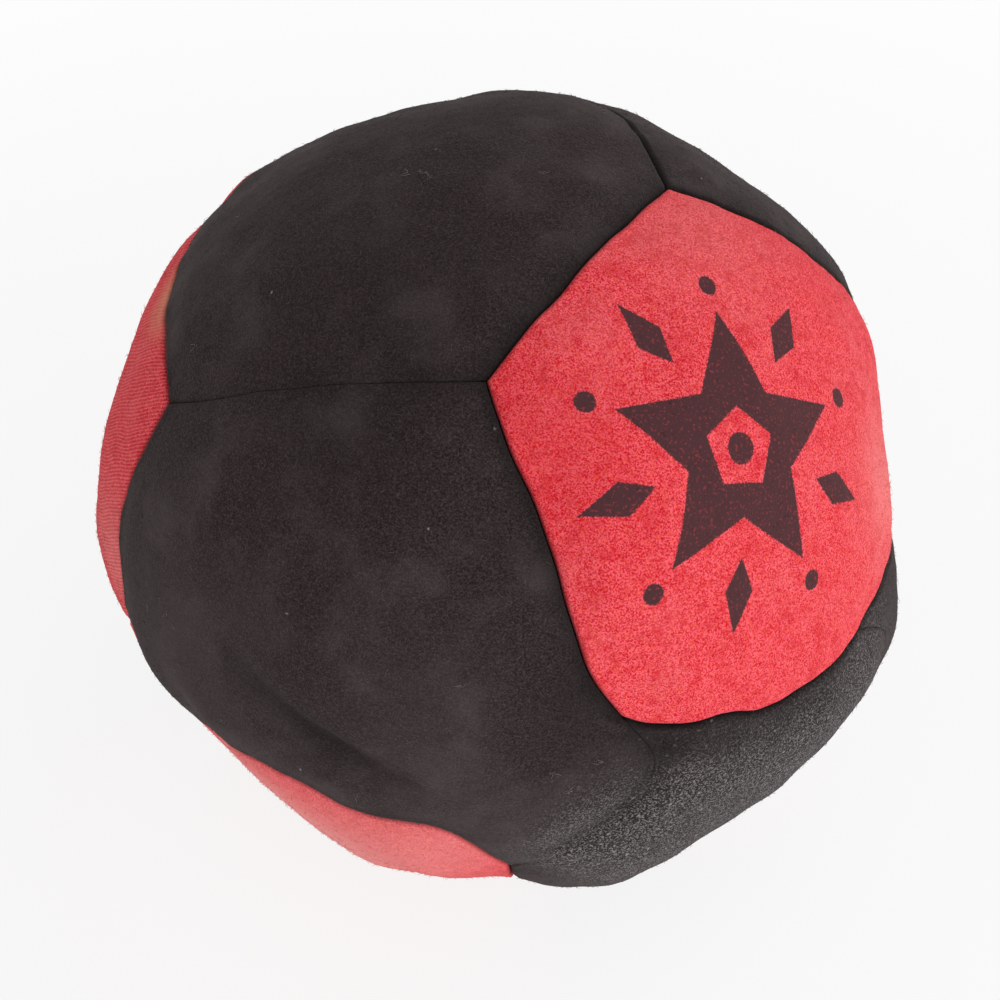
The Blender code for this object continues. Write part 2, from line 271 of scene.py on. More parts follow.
def to_pixel(point):
    """The pixel at which the photograph shows a point, given from the middle in bag radii."""
    across, up, towards = VIEW @ point
    scale = FOCAL_PX / (CAMERA_DISTANCE_SHARE - towards)
    return np.array((MIDDLE_PX[0] + across * scale, MIDDLE_PX[1] - up * scale))


@functools.cache
def on_bag(pixel):
    """The ray to what the photograph shows at a pixel, on the swollen bag."""
    aim = np.array(pixel, dtype=float)
    for _ in range(AIM_ROUNDS):
        ray = from_pixel(aim)
        aim += np.array(pixel) - to_pixel(ray * (1 + swell(ray)))
    return ray


def seam_corners():
    """The rays to the twenty points where three seams meet, by ring and place in the ring."""
    heading, lift = math.radians(FRONT_HEADING), math.radians(FRONT_LIFT)
    flat = math.cos(lift)
    axis = np.array((math.sin(heading) * flat, -math.cos(heading) * flat, math.sin(lift)))
    up = np.array((0.0, 0.0, 1.0))
    upward = unit(up - axis * (up @ axis))
    sideways = np.cross(axis, upward)
    near = math.acos(math.sqrt((5 + 2 * math.sqrt(5)) / 15))
    far = math.acos(math.sqrt((5 - 2 * math.sqrt(5)) / 15))
    corners = {}
    rings = ((near, 0), (far, 0), (math.pi - far, FIFTH_TURN / 2), (math.pi - near, FIFTH_TURN / 2))
    for ring, (tilt, start) in enumerate(rings):
        for place in range(5):
            turn = math.radians(FRONT_SPIN) + start + FIFTH_TURN * place
            outward = upward * math.cos(turn) + sideways * math.sin(turn)
            corner = axis * math.cos(tilt) + outward * math.sin(tilt)
            shift = from_view(CORNER_SHIFT_SHARES.get((ring, place), (0, 0, 0)))
            corners[ring, place] = unit(corner + shift)
    return corners


def neighbours(count):
    """The pairs of places side by side round a ring."""
    return [(place, (place + 1) % count) for place in range(count)]


def panel_outlines():
    """Each panel's five corners, anticlockwise as seen from outside, by the panel's name."""
    outlines = {FRONT_PANEL: [(0, place) for place in range(5)]}
    for place, after in neighbours(5):
        outlines[NEAR_PANELS[place]] = [(0, place), (1, place), (2, place), (1, after), (0, after)]
        outlines[FAR_PANELS[place]] = [(1, after), (2, place), (3, place), (3, after), (2, after)]
    outlines[BACK_PANEL] = [(3, place) for place in reversed(range(5))]
    return outlines


CORNERS = seam_corners()
OUTLINES = panel_outlines()
SEAMS = sorted({
    tuple(sorted((outline[a], outline[b]))) for outline in OUTLINES.values() for a, b in neighbours(5)
})


def seam_points(first, second, shares):
    """Rays to points along the seam from one corner to another."""
    shares = np.asarray(shares, dtype=float)
    if first > second:
        first, second, shares = second, first, 1 - shares
    start, end = CORNERS[first], CORNERS[second]
    angle = math.acos(float(start @ end))
    points = (
        np.sin((1 - shares) * angle)[:, None] * start + np.sin(shares * angle)[:, None] * end
    ) / math.sin(angle)
    bow = np.zeros_like(shares)
    for count, swing in enumerate(SEAM_BOW_SHARES.get((first, second), ()), start=1):
        bow += swing * np.sin(math.pi * count * shares)
    phase = sum(turn * place for turn, place in zip(WANDER_PHASES, (*first, second[1])))
    wander = sum(
        share * np.sin(turns * shares + count * phase)
        for count, (turns, share) in enumerate(WANDER_WAVES, start=1))
    bow += SEAM_WANDER / RADIUS * wander * np.sin(math.pi * shares)
    side = unit(np.cross(start, end))
    return unit(points + side * bow[:, None])


def seam_length(first, second):
    points = seam_points(first, second, np.linspace(0, 1, SEAM_SAMPLES))
    return RADIUS * np.linalg.norm(np.diff(points, axis=0), axis=1).sum()


SEAM_ROWS = np.array([seam_points(*seam, np.linspace(0, 1, SEAM_SAMPLES)) for seam in SEAMS])


def seam_distances(rays):
    """How far rays end from each of the thirty seams, along the bag's outside."""
    nearness = rays @ SEAM_ROWS.reshape(-1, 3).T
    nearest = nearness.reshape(len(rays), len(SEAM_ROWS), -1).max(axis=2)
    return RADIUS * np.arccos(np.clip(nearest, -1.0, 1.0))


def seam_draw(rays):
    """How far the seams draw the suede in: most at a seam, and more where three of them meet."""
    closeness = hump(seam_distances(rays) / DRAW_WIDTH)
    return DRAW_DEPTH * (1 - np.prod(1 - DRAW_SHARE * closeness, axis=1))


def swell(rays):
    total = np.zeros(rays.shape[:-1])
    for clock, tilt, share, spread in SWELL_SHARES:
        total += share * hump(angle_between(rays, from_clock(clock, tilt)) / math.radians(spread))
    return total


def soft_noise(rays, length, seed, waves=NOISE_WAVES):
    """A gentle, repeatable noise over the bag, with lumps of the length given, mostly from -1 to 1."""
    generator = np.random.default_rng(seed)
    ways = unit(generator.normal(size=(waves, 3)))
    ways = ways * (TURN * RADIUS / length) * generator.uniform(*NOISE_PITCHES, size=(waves, 1))
    phases = generator.uniform(0, TURN, size=waves)
    return np.sin(rays @ ways.T + phases).sum(axis=-1) * math.sqrt(2 / waves)


def crease_place(rays):
    """The share of the way along the crease at which rays end, and how far to its upper right."""
    start, middle, end = (on_bag(pixel) for pixel in CREASE_PX)
    side = unit(np.cross(start, end))
    span = math.acos(float(start @ end))
    ahead = np.cross(side, start)
    along = np.arctan2(rays @ ahead, rays @ start) / span
    middle_share = math.atan2(float(middle @ ahead), float(middle @ start)) / span
    bow = float(middle @ side) / math.sin(math.pi * middle_share)
    return along, (rays @ side - bow * np.sin(math.pi * along)) * RADIUS


def crease_lee(rays, steep_width):
    """How far the suede lies in the crease's lee, from 0 to 1: all of it past a steep stretch."""
    along, across = crease_place(rays)
    fade = np.exp(-np.abs((along - CREASE_DROP_PEAK) / CREASE_DROP_REACH) ** CREASE_DROP_POWER)
    fade = fade * (rays @ on_bag(CREASE_PX[1]) > 0)
    return eased(np.clip(-across / steep_width, 0, 1)) * hump(across / CREASE_GENTLE_WIDTH) * fade


def crease_height(rays):
    """The long crease in the middle panel: a fine ridge where the suede turns down beside it."""
    along, across = crease_place(rays)
    fade = hump((along - CREASE_RIDGE_PEAK) / CREASE_RIDGE_REACH)
    fade = fade * np.clip(along / CREASE_RIDGE_START, 0, 1) * (along < CREASE_RIDGE_END)
    ridge = CREASE_RIDGE * hump(across / CREASE_RIDGE_WIDTH) * fade
    return ridge - CREASE_DROP * crease_lee(rays, CREASE_STEEP_WIDTH)


def spots(rays, places):
    """The sum of soft round spots, each given by its pixel, its height and its spread."""
    total = np.zeros(len(rays))
    for pixel, height, spread in places:
        total += height * hump(angle_between(rays, on_bag(pixel)) * RADIUS / spread)
    return total


def relief(rays):
    """The bag's unevenness: the sand's soft lumps, the crease and the hollows."""
    height = crease_height(rays) + spots(rays, HOLLOWS)
    for length, rise, seed in LUMPS:
        height += rise * soft_noise(rays, length, seed)
    return height


def settled(points):
    """Presses points flat where the bag rests, with a smooth roll-off round the flat."""
    height = points[:, 2] + FLOOR_BELOW_MIDDLE
    rolled = np.maximum(height, 0) ** 2 / (2 * REST_ROLL_OFF)
    height = np.where(height < REST_ROLL_OFF, rolled, height - REST_ROLL_OFF / 2)
    return np.column_stack((points[:, :2], height))


def bag_points(rays, raised=0.0):
    """Points of the bag's outside where rays end, raised above it or sunk below it."""
    reach = RADIUS * (1 + swell(rays)) + relief(rays) - seam_draw(rays) + raised
    return settled(rays * reach[:, None])


class Panel:
    """One panel's place on the bag: its middle, and lines of stations inside its five seams."""

    def __init__(self, outline):
        self.sides = [(outline[a], outline[b]) for a, b in neighbours(5)]
        self.cut_backs = [self.cut_back(side) for side in range(5)]
        self.lines = {}
        self.middle = self.find_middle()

    def find_middle(self):
        """A ray inside the panel that every stretch of its seams faces, as far from all as can be."""
        stations, inward, _, _ = self.line(0.0)
        middle = unit(stations.sum(axis=0))
        for _ in range(CENTRING_ROUNDS):
            middle = unit(middle + inward[np.argmin(inward @ middle)] * CENTRING_STEP_SHARE)
        return middle

    def cut_back(self, side):
        """How much of a seam each metre of inset takes up at the corner where a side starts.

        Where the panel reaches round its corner the inset line grows instead, so it is negative.
        """
        corner = CORNERS[self.sides[side][0]]
        leaving = unit(seam_points(*self.sides[side], [CORNER_REACH_SHARE])[0] - corner)
        coming = unit(seam_points(*self.sides[side - 1], [1 - CORNER_REACH_SHARE])[0] - corner)
        angle = math.acos(float(leaving @ coming))
        if np.cross(leaving, coming) @ corner < 0:
            angle = TURN - angle
        return 1 / math.tan(angle / 2)

    def line(self, offset):
        """Stations on the seams that a line so far inside them starts from.

        Given as their rays, the ways square to the seam into the panel, their puckers and how deep the
        seam's fold is there.
        """
        if offset not in self.lines:
            parts = [self.side_line(side, offset) for side in range(5)]
            self.lines[offset] = [np.concatenate(values) for values in zip(*parts)]
        return self.lines[offset]

    def side_line(self, side, offset):
        first, second = self.sides[side]
        length = seam_length(first, second)
        start = self.cut_backs[side] * offset / length
        end = self.cut_backs[(side + 1) % 5] * offset / length
        shares = start + (1 - start - end) * np.arange(SEAM_STEPS) / SEAM_STEPS
        stations = seam_points(first, second, shares)
        ahead = seam_points(first, second, shares + HEADING_SHARE)
        behind = seam_points(first, second, shares - HEADING_SHARE)
        inward = unit(np.cross(stations, ahead - behind))
        pucker = np.cos(TURN * PUCKERS_PER_SEAM * shares) * PUCKER_HEIGHT
        softness = SOFT_SEAM_SHARES.get(tuple(sorted((first, second))), 0.0)
        fold = 1 - softness * np.sin(math.pi * np.clip(shares, 0, 1)) ** SOFT_SEAM_POWER
        return stations, inward, pucker, fold

    def crown_ring(self, share, offset, inset):
        """A ring on the crown, at a share of the way from the middle to a line beside the seams."""
        stations, inward, pucker, _ = self.line(offset)
        rim = unit(stations + inward * (offset / RADIUS))
        rays = unit(self.middle * (1 - share) + rim * share)
        away = (1 - share) * angle_between(rim, self.middle) * RADIUS
        return bag_points(rays, pucker * np.exp(-away / PUCKER_REACH)) - rays * inset

    def seam_ring(self, offset, depth, pucker_share=0.0, fold_depth=0.0):
        """A ring beside the seams: so far into the panel, and so deep under the bag's outside."""
        stations, inward, pucker, fold = self.line(offset)
        outside = bag_points(stations, pucker * pucker_share - fold_depth * fold)
        gap = min(offset, SEAM_GAP / 2)
        away = offset - gap * (1 - fold)
        points = outside + inward * away[:, None] - stations * depth
        points[:, 2] = np.maximum(points[:, 2], 0)
        return points

    def shoulder_rings(self):
        """Rings that roll a quarter turn from the crown down into the seam."""
        rings = []
        for step in range(1, SHOULDER_STEPS + 1):
            turn = math.pi / 2 * step / SHOULDER_STEPS
            offset = SEAM_GAP / 2 + (SHOULDER_WIDTH - SEAM_GAP / 2) * (1 - math.sin(turn))
            fold_depth = FOLD_DEPTH * (1 - math.cos(turn))
            rings.append(self.seam_ring(offset, 0.0, math.cos(turn), fold_depth))
        return rings

    def face_rings(self):
        shares = 1 - (1 - np.arange(1, CROWN_STEPS + 1) / CROWN_STEPS) ** CROWN_CROWDING
        return [self.crown_ring(share, SHOULDER_WIDTH, 0.0) for share in shares] + self.shoulder_rings()

    def edge_rings(self):
        """The turned-in edge: pressed against its neighbour, then standing back round the thread."""
        places = (
            (SEAM_GAP / 2, THREAD_TOP_DEPTH - CLEARANCE),
            (EDGE_OFFSET, THREAD_TOP_DEPTH + CLEARANCE),
            (EDGE_OFFSET, EDGE_DEPTH),
        )
        return [self.seam_ring(offset, depth) for offset, depth in places]

    def inner_rings(self):
        shares = np.arange(1, INNER_STEPS + 1) / INNER_STEPS
        rings = [self.crown_ring(share, INNER_OFFSET, SUEDE_THICKNESS) for share in shares]
        return rings + [self.seam_ring(INNER_OFFSET, EDGE_DEPTH)]


def skin_faces(count, rings, start):
    """The faces of a skin from a middle point, numbered start, out through its rings."""
    faces = [(start, start + 1 + a, start + 1 + b) for a, b in neighbours(count)]
    for row in range(rings - 1):
        inner = start + 1 + row * count
        outer = inner + count
        faces += [(inner + a, outer + a, outer + b, inner + b) for a, b in neighbours(count)]
    return faces


def new_mesh(name, points, faces):
    mesh = bpy.data.meshes.new(name)
    mesh.from_pydata(points.tolist(), [], faces)
    mesh.shade_smooth()
    return mesh


def store(mesh, name, values):
    attribute = mesh.attributes.new(name, "FLOAT", "POINT")
    attribute.data.foreach_set("value", np.asarray(values, dtype=np.float32))


def store_wear_and_painted_light(mesh, points, colour):
    """Keeps on a mesh where its nap is roughed up and the red suede has painted sheen, and its painted shade
    and light.
    """
    rays = unit(points - MIDDLE)
    store(mesh, "wear_and_painted_sheen", np.clip(spots(rays, WEAR_AND_PAINTED_SHEEN[colour]), 0, 1))
    # Painted shade and light from the spots, and painted shade in the crease's lee
    painted_shade = spots(rays, PAINTED_SHADES_AND_LIGHT[colour]) + CREASE_PAINTED_SHADE_SHARE * crease_lee(rays, CREASE_PAINTED_SHADE_EDGE)
    store(mesh, "painted_shade_and_light", np.clip(painted_shade, -1, 1))


def seam_nearness(face, fold, total):
    """How close each point is to a seam, from 0 on the crown to 1 in the fold and behind it, for the painted
    seam shade.
    """
    away = np.linalg.norm(np.array(face) - face[-1], axis=2)
    values = (np.exp(-away / SEAM_PAINTED_SHADE_WIDTH) * fold).ravel()
    return np.concatenate(((0.0,), values, np.ones(total - 1 - len(values))))


def make_panel_mesh(name, panel, face, colour):
    """A closed suede shell, with its face, its rolled and turned-in edges, and its back."""
    outside = face + panel.edge_rings()
    inside = panel.inner_rings()
    count = len(face[0])
    face_middle = bag_points(panel.middle[None])
    back_middle = face_middle - panel.middle * SUEDE_THICKNESS
    points = np.concatenate([face_middle] + outside + [back_middle] + inside)
    back_start = 1 + count * len(outside)
    faces = skin_faces(count, len(outside), 0)
    faces += [tuple(reversed(one)) for one in skin_faces(count, len(inside), back_start)]
    outer, inner = back_start - count, len(points) - count
    faces += [(outer + a, inner + a, inner + b, outer + b) for a, b in neighbours(count)]
    mesh = new_mesh(name, points, faces)
    store(mesh, "seam_nearness", seam_nearness(face, panel.line(0.0)[3], len(points)))
    store_wear_and_painted_light(mesh, points, colour)
    return mesh


# The nap: fibres that stand and curl over the suede, more of them in the wear and painted-sheen spots and
# at the seams
NAP_STRANDS = 1100
NAP_LENGTHS = (0.00020, 0.00052)
NAP_RADIUS = 0.000013
NAP_TAPER = 0.8
NAP_RISES = (6, 48)
NAP_DROOP = 0.45
NAP_CURL = 0.45
NAP_SUNK = 0.000012
NAP_SIDES = 3
NAP_CLEAR_OF_FLOOR = 0.0007
NAP_SEAM_REACH = 0.0009
NAP_SHARES = {"plain": 0.35, "worn": 1.60, "seam": 0.90}
NAP_LIFTS = (0.15, 1.0)
NAP_SEED = 100

# Lint: pale fibres caught in the black nap
LINT_PX = (
    (145, 606), (160, 603), (166, 612), (173, 626), (176, 670), (183, 668), (222, 721),
    (240, 215), (195, 345), (409, 172), (424, 173), (429, 178), (543, 172), (357, 797),
    (462, 685), (555, 776), (570, 793), (598, 765), (588, 828), (648, 826), (655, 812),
    (675, 800), (700, 770), (712, 828), (742, 806), (765, 782), (790, 770), (830, 714),
)
LINT_SEED = 200
LINT_STRANDS = 5
LINT_SPREAD = 0.00010
LINT_LIFTS = (2.2, 3.2)


def nap_roots(face, colour, generator):
    """Random places on a panel's face and the way out of it there, denser in the wear and painted-sheen
    spots.
    """
    rows = np.array(face[:CROWN_STEPS])
    here, below = rows[:-1], rows[1:]
    beside, across = np.roll(here, -1, axis=1), np.roll(below, -1, axis=1)
    outward = np.cross(across - here, beside - below)
    centre = (here + across) / 2
    outward *= np.sign(((centre - MIDDLE) * outward).sum(axis=2, keepdims=True))
    rays = unit(centre - MIDDLE)
    worn = spots(rays.reshape(-1, 3), WEAR_AND_PAINTED_SHEEN[colour]).reshape(rays.shape[:2])
    edge = np.exp(-np.linalg.norm(centre - face[-1], axis=2) / NAP_SEAM_REACH)
    density = NAP_SHARES["plain"] + NAP_SHARES["worn"] * worn + NAP_SHARES["seam"] * edge
    weight = np.linalg.norm(outward, axis=2) * density * (centre[..., 2] > NAP_CLEAR_OF_FLOOR)
    chosen = generator.choice(weight.size, NAP_STRANDS, p=weight.ravel() / weight.sum())
    row, column = np.unravel_index(chosen, weight.shape)
    down, aside = generator.uniform(size=(2, NAP_STRANDS, 1))
    upper = here[row, column] * (1 - aside) + beside[row, column] * aside
    lower = below[row, column] * (1 - aside) + across[row, column] * aside
    return upper * (1 - down) + lower * down, unit(outward[row, column])


def lint_roots(generator):
    """Places of the lint, a few fibres to each of the photograph's specks, and the way out there."""
    rays = np.array([on_bag(pixel) for pixel in LINT_PX])
    rays = np.repeat(rays, LINT_STRANDS, axis=0)
    rays = unit(rays + generator.normal(size=rays.shape) * LINT_SPREAD / RADIUS)
    return bag_points(rays), rays


def make_strand_mesh(name, roots, outward, lifts, colour, generator):
    """Tapered fibres, each a closed body of its own, that curl up from their roots."""
    count = len(roots)
    ahead = unit(np.cross(outward, generator.normal(size=outward.shape)))
    aside = np.cross(outward, ahead)
    length = generator.uniform(*NAP_LENGTHS, size=(count, 1))
    rise = np.radians(generator.uniform(*NAP_RISES, size=(count, 1)))
    curl = generator.uniform(-NAP_CURL, NAP_CURL, size=(count, 1))

    def centre(share):
        lift = np.sin(rise) * share * (1 - NAP_DROOP * share)
        way = ahead * np.cos(rise) * share + aside * curl * share ** 2 + outward * lift
        return roots - outward * NAP_SUNK + way * length

    first, second, tip = centre(0.0), centre(0.5), centre(1.0)
    along = unit(second - first)
    side = unit(aside - along * (aside * along).sum(axis=1, keepdims=True))
    up = np.cross(along, side)
    points = []
    for middle, radius in ((first, NAP_RADIUS), (second, NAP_RADIUS * NAP_TAPER)):
        for corner in range(NAP_SIDES):
            angle = corner * TURN / NAP_SIDES
            points.append(middle + (side * math.cos(angle) + up * math.sin(angle)) * radius)
    points.append(tip)
    per_strand = len(points)
    points = np.stack(points, axis=1).reshape(-1, 3)
    faces = []
    for start in range(0, len(points), per_strand):
        upper, last = start + NAP_SIDES, start + per_strand - 1
        faces.append(tuple(range(upper - 1, start - 1, -1)))
        for a, b in neighbours(NAP_SIDES):
            faces.append((start + a, start + b, upper + b, upper + a))
            faces.append((upper + a, upper + b, last))
    mesh = new_mesh(name, points, faces)
    store_wear_and_painted_light(mesh, points, colour)
    store(mesh, "nap_lift", np.repeat(generator.uniform(*lifts, size=count), per_strand))
    return mesh


def put_in_scene(name, data):
    item = bpy.data.objects.new(name, data)
    bpy.context.scene.collection.objects.link(item)
    return item


def place_piece(mesh, finish, node):
    """Puts a mesh in the scene as a piece, which stands for a node if one is named."""
    mesh.materials.append(finish)
    piece = put_in_scene(mesh.name, mesh)
    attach(piece, "root")
    if node:
        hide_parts(node)
    return piece


class Nodes:
    """A short hand for building the nodes of a material or a world."""

    def __init__(self, owner):
        owner.use_nodes = True
        self.tree = owner.node_tree
        self.tree.nodes.clear()

    def add(self, kind, inputs=(), **settings):
        """A shader node with its settings, and what feeds its inputs, by their names or numbers."""
        node = self.tree.nodes.new("ShaderNode" + kind)
        for key, value in settings.items():
            setattr(node, key, value)
        for key, value in dict(inputs).items():
            if isinstance(value, bpy.types.NodeSocket):
                self.tree.links.new(value, node.inputs[key])
            elif value is not None:
                node.inputs[key].default_value = value
        return node

    def math(self, operation, first, second=None, third=None):
        inputs = {0: first, 1: second, 2: third}
        return self.add("Math", inputs, operation=operation).outputs[0]

    def times(self, first, second):
        return self.math("MULTIPLY", first, second)

    def minus(self, first, second):
        return self.math("SUBTRACT", first, second)

    def greatest(self, first, second):
        return self.math("MAXIMUM", first, second)

    def least(self, first, second):
        return self.math("MINIMUM", first, second)

    def total(self, *values):
        return functools.reduce(lambda first, second: self.math("ADD", first, second), values)

    def hypotenuse(self, first, second):
        return self.math("SQRT", self.total(self.times(first, first), self.times(second, second)))

    def vector(self, operation, first, second=None, output="Vector"):
        inputs = {0: first, 1: second}
        return self.add("VectorMath", inputs, operation=operation).outputs[output]

    def dot(self, first, second):
        return self.vector("DOT_PRODUCT", first, second, "Value")

    def length(self, vector):
        return self.math("SQRT", self.dot(vector, vector))

    def attribute(self, name):
        return self.add("Attribute", attribute_name=name).outputs["Fac"]

    def position(self):
        return self.add("TexCoord").outputs["Object"]

    def noise(self, place, length, detail=2.0, roughness=0.5, distortion=0.0, output="Fac"):
        """Noise whose lumps are about the length given, as a value round a half."""
        inputs = {
            "Vector": place, "Scale": 1.0 / length, "Detail": detail,
            "Roughness": roughness, "Distortion": distortion,
        }
        return self.add("TexNoise", inputs).outputs[output]

    def cells(self, place, length):
        """Cells of about the length given: what their node gives, and their colour's three parts."""
        inputs = {"Vector": place, "Scale": 1.0 / length}
        cells = self.add("TexVoronoi", inputs, feature="F1").outputs
        return cells, self.add("SeparateColor", {0: cells["Color"]}).outputs

    def ramp(self, value, low, high, most=1.0, least=0.0):
        """A value made to rise gently from its least to its most, as it goes from low to high."""
        inputs = {0: value, 1: low, 2: high, 3: least, 4: most}
        settings = {"clamp": True, "interpolation_type": "SMOOTHSTEP"}
        return self.add("MapRange", inputs, **settings).outputs[0]

    def mix(self, share, first, second):
        return self.add("Mix", {0: share, 6: first, 7: second}, data_type="RGBA").outputs[2]

    def layered(self, colour, layers, values):
        """Lays a table's colours over one another, each by how much of it its value calls for."""
        for name, reading, most, layer in layers:
            value = values[name]
            share = self.ramp(value, *reading, most) if reading else self.times(value, most)
            colour = self.mix(share, colour, layer)
        return colour

    def strokes(self, place, length, share):
        """Fine curved fibres that lie every way, in a share of the cells of the length given."""
        cells, parts = self.cells(place, length)
        normal = self.add("NewGeometry").outputs["Normal"]
        away = self.vector("SUBTRACT", place, cells["Position"])
        turn = self.vector("SUBTRACT", cells["Color"], (0.5, 0.5, 0.5))
        side = self.vector("NORMALIZE", self.vector("CROSS_PRODUCT", normal, turn))
        along = self.dot(away, self.vector("CROSS_PRODUCT", side, normal))
        bend = self.times(self.minus(parts[1], 0.5), STROKE_CURL / length)
        across = self.math("MULTIPLY_ADD", self.times(along, along), bend, self.dot(away, side))
        line = self.ramp(self.math("ABSOLUTE", across), STROKE_WIDTH, STROKE_WIDTH * STROKE_CORE_SHARE)
        tapered = (length * end for end in STROKE_END_SHARES)
        ends = self.ramp(self.math("ABSOLUTE", along), *tapered)
        return self.times(self.times(line, ends), self.math("LESS_THAN", parts[2], share))

    def specks(self, place, length, share, size):
        """Small scattered specks: cells of about the length given, a share of them filled."""
        cells, parts = self.cells(place, length)
        near = self.ramp(cells["Distance"], size, size * SPECK_CORE_SHARE)
        return self.times(near, self.math("LESS_THAN", parts[0], share))

    def blend(self, share, first, second):
        """A shader between two others."""
        return self.add("MixShader", {0: share, 1: first, 2: second}).outputs[0]


def new_material(name):
    """A material, its nodes, and the place on the object that they read."""
    material = bpy.data.materials.new(name)
    nodes = Nodes(material)
    return material, nodes, nodes.position()


# Colours, linear
RED_DEEP = (0.590, 0.004, 0.014, 1.0)
RED_PALE = (0.950, 0.120, 0.152, 1.0)
RED_ORANGE = (0.860, 0.110, 0.050, 1.0)
RED_DUSTY = (0.930, 0.260, 0.270, 1.0)
# Painted sheen: the paler red laid on the red panels' sheen spots
RED_PAINTED_SHEEN = (0.950, 0.430, 0.400, 1.0)
RED_TAN = (0.740, 0.340, 0.200, 1.0)
# Painted shade in and beside the seams
RED_SEAM_SHADE = (0.200, 0.008, 0.014, 1.0)
INK = (0.072, 0.028, 0.032, 1.0)
INK_WORN = (0.260, 0.040, 0.048, 1.0)
BLACK_DEEP = (0.0056, 0.0038, 0.0039, 1.0)
BLACK_DIM = (0.0130, 0.0086, 0.0086, 1.0)
BLACK = (0.0350, 0.0232, 0.0234, 1.0)
BLACK_PALE = (0.1000, 0.0790, 0.0790, 1.0)
BLACK_DUSTY = (0.1300, 0.1200, 0.1200, 1.0)
BLACK_WORN = (0.2100, 0.1960, 0.1940, 1.0)
# Painted shade in and beside the seams
BLACK_SEAM_SHADE = (0.0040, 0.0032, 0.0034, 1.0)
LINT = (0.360, 0.340, 0.330, 1.0)
THREAD_DARK = (0.006, 0.006, 0.007, 1.0)
THREAD_PALE = (0.034, 0.032, 0.034, 1.0)
SAND_COLOURS = ((0.300, 0.190, 0.100, 1.0), (0.560, 0.420, 0.270, 1.0), (0.760, 0.660, 0.500, 1.0))
WHITE = (1.0, 1.0, 1.0, 1.0)

# The suede's grain: the sizes of its fibres, tufts and brush marks, and how far they stand up
FIBRE_LENGTH = 0.00010
FIBRE_HEIGHT = 0.000020
TUFT_LENGTH = 0.00026
TUFT_SHARE = 0.25
TUFT_DISTORTION = 0.5
TUFT_HEIGHT = 0.000026
GRAIN_ROUGHNESS = 0.6
BRUSHING = {"length": 0.0040, "detail": 3.0, "roughness": 0.55}
MOTTLE = {"length": 0.0010, "detail": 4.0, "roughness": 0.7}
CRUMB_LENGTH = 0.00012
NOISE_SHIFT = (0.011, 0.017, 0.005)

# Fibres that lie on the suede, in layers that cross one another, each with its share of their length
STROKE_LENGTH = 0.00036
STROKE_LAYERS = (1.0, 0.8, 0.65)
STROKE_WIDTH = 0.000034
STROKE_CORE_SHARE = 0.2
STROKE_END_SHARES = (0.50, 0.25)
STROKE_CURL = 1.2
STROKE_HEIGHT = 0.000012
STROKE_SHARES = {"red": 0.75, "black": 0.55}

# The suede's colours in layers, each over the last. A layer has the value that it follows, from where to
# where in that value's range it comes in (None where it follows it evenly), the most of it, and its colour
RED_LAYERS = (
    ("grain", (0.41, 0.59), 1.00, RED_PALE),
    ("hue", (0.48, 0.70), 0.40, RED_ORANGE),
    ("brushing", (0.45, 0.80), 0.16, RED_DUSTY),
    ("mottle", (0.46, 0.68), 0.55, RED_DEEP),
    # Painted shade: the red suede darker in the painted-shade spots
    ("painted_shade", None, 0.50, RED_DEEP),
    # Painted sheen: paler red in the red panels' sheen spots
    ("wear_and_sheen", None, 0.70, RED_PAINTED_SHEEN),
    ("strokes", None, 0.14, RED_DUSTY),
    ("lift", None, 0.30, RED_DUSTY),
)
# Painted shade that darkens the red suede in and beside the seams
RED_FOLD_LAYERS = (("seam", (0.62, 1.0), 0.90, RED_SEAM_SHADE),)
BLACK_LAYERS = (
    ("grain", (0.36, 0.60), 1.00, BLACK),
    ("grain", (0.52, 0.70), 0.40, BLACK_PALE),
    ("strokes", None, 0.22, BLACK_PALE),
    ("brushing", (0.45, 0.80), 0.35, BLACK_PALE),
    ("wear_and_sheen", None, 0.85, BLACK_DEEP),
    ("dusty grain", None, 0.10, BLACK_DUSTY),
    ("crumbs", None, 1.00, BLACK_WORN),
    ("lift", None, 1.00, LINT),
    # Painted light where the painted shade is less than 0, then painted shade where it is more
    ("painted_shade", None, -1.00, BLACK_PALE),
    ("painted_shade", None, 0.80, BLACK_DEEP),
    ("lint", None, 0.60, LINT),
    ("dust", None, 0.70, LINT),
    # Painted shade that darkens the black suede in and beside the seams
    ("seam", (0.15, 1.0), 0.90, BLACK_SEAM_SHADE),
)

# What the black suede's own values are made of: where they come in, and their shares
DUSTY_GRAIN = (0.44, 0.62)
CRUMBS = (0.475, 0.635)
CRUMB_STROKES = 0.04
CRUMB_WEAR = (0.05, 0.60)
LIFT_WORN = 0.5
LIFT_PLAIN = 0.25
SPECK_BEND = 0.0004
SPECK_BEND_LENGTH = 0.0005
SPECK_CORE_SHARE = 0.35
LINT_SPECKS = {"length": 0.0011, "share": 0.05, "size": 0.10}
DUST_SPECKS = {"length": 0.00042, "share": 0.30, "size": 0.30}

# How suede meets the light
SUEDE_ROUGHNESS = 0.95
SUEDE_SPECULAR = 0.10
SHEEN_ROUGHNESS = 0.5
RED_SHEEN = (0.09, (1.0, 0.45, 0.45, 1.0))
BLACK_SHEEN = (0.07, (0.96, 0.82, 0.82, 1.0))
THREAD_SHEEN = (0.05, WHITE)
NO_SHEEN = (0.0, WHITE)

